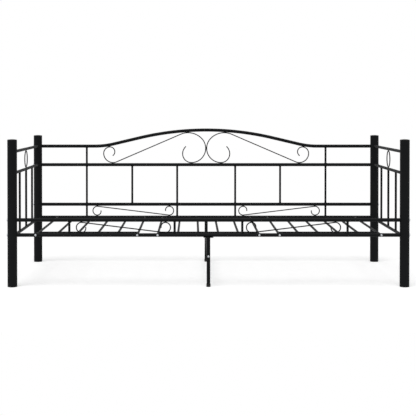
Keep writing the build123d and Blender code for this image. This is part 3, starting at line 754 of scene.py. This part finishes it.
def slat_panel_pieces(panel):
    """One slat panel: side slats bolted to the rails, with cross bars and inner slats welded between."""
    stock = (BAR_R, BAR_WALL)
    places = slat_places(panel)
    rail_seat = (RAIL_R + SEAT_GAP, X)
    sides = [
        coped_tube((x, -HALF_Y, LOWER_Z), (x, HALF_Y, LOWER_Z), stock, rail_seat, rail_seat)
        for x in places[[0, -1]]
    ]
    piece(f"{panel}_base_side_slats", sides, COAT)
    bars = []
    for y in (-CROSS_Y, CROSS_Y):
        seat = (BAR_R, Y)
        bars += welded_tube((places[0], y, LOWER_Z), (places[-1], y, LOWER_Z), stock, seat, seat)
    piece(f"{panel}_base_cross_bars", bars, COAT)
    slats = []
    for x in places[1:-1]:
        seat = (BAR_R, X)
        slats += welded_tube((x, -CROSS_Y, LOWER_Z), (x, CROSS_Y, LOWER_Z), stock, seat, seat)
    piece(f"{panel}_base_inner_slats", slats, COAT)


def centre_support_pieces():
    """The two legs with their plates and feet, and the stretcher between them."""
    stock = (LEG_R, LEG_WALL)
    square_cut = (0.0, X)
    bore = LEG_R + SEAT_GAP
    foot = [(0, 0), (LEG_FOOT_R - LEG_FOOT_BEVEL, 0), (LEG_FOOT_R, LEG_FOOT_BEVEL)]
    foot += [*quarter(LEG_FOOT_R, LEG_FOOT_HEIGHT, LEG_FOOT_ROUND), (bore, LEG_FOOT_HEIGHT)]
    foot += [(bore, LEG_FOOT_FLOOR), (0, LEG_FOOT_FLOOR)]
    plates = []
    feet = []
    for face, sign in FACES.items():
        y = sign * HALF_Y
        low, high = (0, y, LEG_FOOT_FLOOR + SEAT_GAP), (0, y, LEG_TOP)
        piece(f"{face}_centre_leg", [coped_tube(low, high, stock, square_cut, square_cut)], COAT)
        under = (0, y, PLATE_TOP - PLATE_SIZE[2])
        plates.append(rounded_plate(under, PLATE_SIZE, PLATE_CORNER, PLATE_EDGE))
        plates.append(weld_bead(high, Z, -1, LEG_R, square_cut, POST_BEAD_R))
        feet.append(turned(foot, (0, y, 0), SMALL_POINTS))
    piece("leg_top_plates", plates, COAT)
    piece("leg_feet", feet, PLASTIC)
    seat = (LEG_R + SEAT_GAP, Z)
    stretcher = coped_tube((0, -HALF_Y, STRETCHER_Z), (0, HALF_Y, STRETCHER_Z), stock, seat, seat)
    piece("leg_stretcher", [stretcher], COAT)


def fastener_pieces():
    """Bolts, saddle washers and screws. The nuts inside the tubes keep their CAD form."""
    rails = [(FACES[face] * HALF_Y, z) for face in FACES for z in FACE_RAILS[face]]
    reach = HALF_X + POST_R + WASHER_CREST + 2 * SEAT_GAP
    seats = [((side * reach, y, z), side * X) for y, z in rails for side in SIDES.values()]
    piece("post_bolts", [bolt(seat, out, POST_BOLT, POST_BOLT_LENGTH) for seat, out in seats], ZINC)
    washers = [saddle_washer(seat - SEAT_GAP * out, out) for seat, out in seats]
    piece("post_saddle_washers", washers, ZINC)

    outer = [x for panel in PANELS for x in slat_places(panel)[[0, -1]]]
    places = [(x, LOWER_Z) for x in outer] + [(0, STRETCHER_Z)]
    reach = HALF_Y + RAIL_R + SEAT_GAP
    seats = [((x, sign * reach, z), sign * Y) for x, z in places for sign in FACES.values()]
    piece("panel_bolts", [bolt(seat, out, PANEL_BOLT, PANEL_BOLT_LENGTH) for seat, out in seats], ZINC)

    places = (-LEG_SCREW_X, LEG_SCREW_X)
    seats = [(x, sign * HALF_Y, LEG_TOP) for x in places for sign in FACES.values()]
    piece("leg_plate_screws", [bolt(seat, -Z, PLATE_SCREW, PLATE_SCREW_LENGTH) for seat in seats], ZINC)

    for name in ("rail_end_nuts", "slat_end_nuts", "stretcher_end_nuts"):
        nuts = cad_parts[name].data
        nuts.materials.clear()
        nuts.materials.append(ZINC[0])


def looked_at(tree):
    """1 for rays from the camera, from a reflection or through glass, and 0 for light on the object."""
    rays = add(tree, "ShaderNodeLightPath").outputs
    both = {0: rays["Is Glossy Ray"], 1: rays["Is Transmission Ray"]}
    reflected = add(tree, "ShaderNodeMath", both, operation="MAXIMUM").outputs[0]
    both = {0: rays["Is Camera Ray"], 1: reflected}
    return add(tree, "ShaderNodeMath", both, operation="MAXIMUM").outputs[0]


def studio_room():
    """A dim room, lighter overhead, that is white where it is looked at."""
    world = bpy.data.worlds.new("studio_room")
    world.use_nodes = True
    tree = world.node_tree
    tree.nodes.clear()
    direction = add(tree, "ShaderNodeTexCoord").outputs["Generated"]
    upward = add(tree, "ShaderNodeSeparateXYZ", {"Vector": direction}).outputs["Z"]
    spread = {"From Min": ROOM_HORIZON, "From Max": 1.0, "To Min": ROOM_LOW, "To Max": ROOM_HIGH}
    level = add(tree, "ShaderNodeMapRange", {"Value": upward, **spread}).outputs["Result"]
    room = add(tree, "ShaderNodeBackground", {"Color": linear("#ffffff"), "Strength": level})
    white = add(tree, "ShaderNodeBackground", {"Color": linear("#ffffff"), "Strength": 1.0})
    both = {0: looked_at(tree), 1: room.outputs[0], 2: white.outputs[0]}
    seen = add(tree, "ShaderNodeMixShader", both)
    out = add(tree, "ShaderNodeOutputWorld")
    tree.links.new(seen.outputs[0], out.inputs["Surface"])
    bpy.context.scene.world = world


def studio_floor():
    """A pale paper sheet under the frame, with a glow that lifts it to white where it is looked at."""
    x, y = FLOOR_HALF_X, FLOOR_HALF_Y
    mesh = bpy.data.meshes.new("studio_floor")
    mesh.from_pydata([(-x, -y, 0), (x, -y, 0), (x, y, 0), (-x, y, 0)], [], [(0, 1, 2, 3)])
    floor = bpy.data.objects.new("studio_floor", mesh)
    floor.location.z = -FLOOR_DEPTH
    bpy.context.scene.collection.objects.link(floor)
    paper, tree, out = new_finish("white_paper_floor")
    sheet = add(tree, "ShaderNodeBsdfDiffuse", {"Color": linear("#e6e6e6")})
    glow = add(tree, "ShaderNodeEmission", {"Color": linear("#ffffff"), "Strength": FLOOR_GLOW})
    lit = add(tree, "ShaderNodeAddShader", {0: sheet.outputs[0], 1: glow.outputs[0]})
    both = {0: looked_at(tree), 1: sheet.outputs[0], 2: lit.outputs[0]}
    seen = add(tree, "ShaderNodeMixShader", both)
    tree.links.new(seen.outputs[0], out.inputs["Surface"])
    mesh.materials.append(paper)


def overhead_lamp():
    """A large soft lamp above the frame, leaning to the front and a little to the left."""
    lamp = bpy.data.lights.new("overhead_softbox", "SUN")
    lamp.angle = math.radians(LAMP_SPREAD)
    lamp.energy = LAMP_STRENGTH
    softbox = bpy.data.objects.new("overhead_softbox", lamp)
    softbox.rotation_euler = (math.radians(LAMP_FRONT), math.radians(-LAMP_LEFT), 0)
    bpy.context.scene.collection.objects.link(softbox)


def camera():
    """The photograph's view: square to the front, 6 m away, a little left of the middle.

    The posts stay parallel in the photograph, so the lens is shifted and hardly tilted.
    """
    lens = bpy.data.cameras.new("photo_view")
    lens.sensor_width = FILM_WIDTH
    lens.lens = FOCAL_LENGTH
    lens.shift_x = SHIFT_X
    lens.shift_y = SHIFT_Y
    view = bpy.data.objects.new("photo_view", lens)
    view.location = CAMERA_PLACE
    view.rotation_euler = (math.radians(90 - CAMERA_TILT), 0, 0)
    bpy.context.scene.collection.objects.link(view)
    bpy.context.scene.camera = view
    bpy.context.scene.view_settings.view_transform = "Standard"


for side in SIDES:
    for face in FACES:
        post_pieces(side, face)
    end_panel_pieces(side)
long_panel_pieces()
for panel in PANELS:
    slat_panel_pieces(panel)
centre_support_pieces()
fastener_pieces()
studio_room()
studio_floor()
overhead_lamp()
camera()
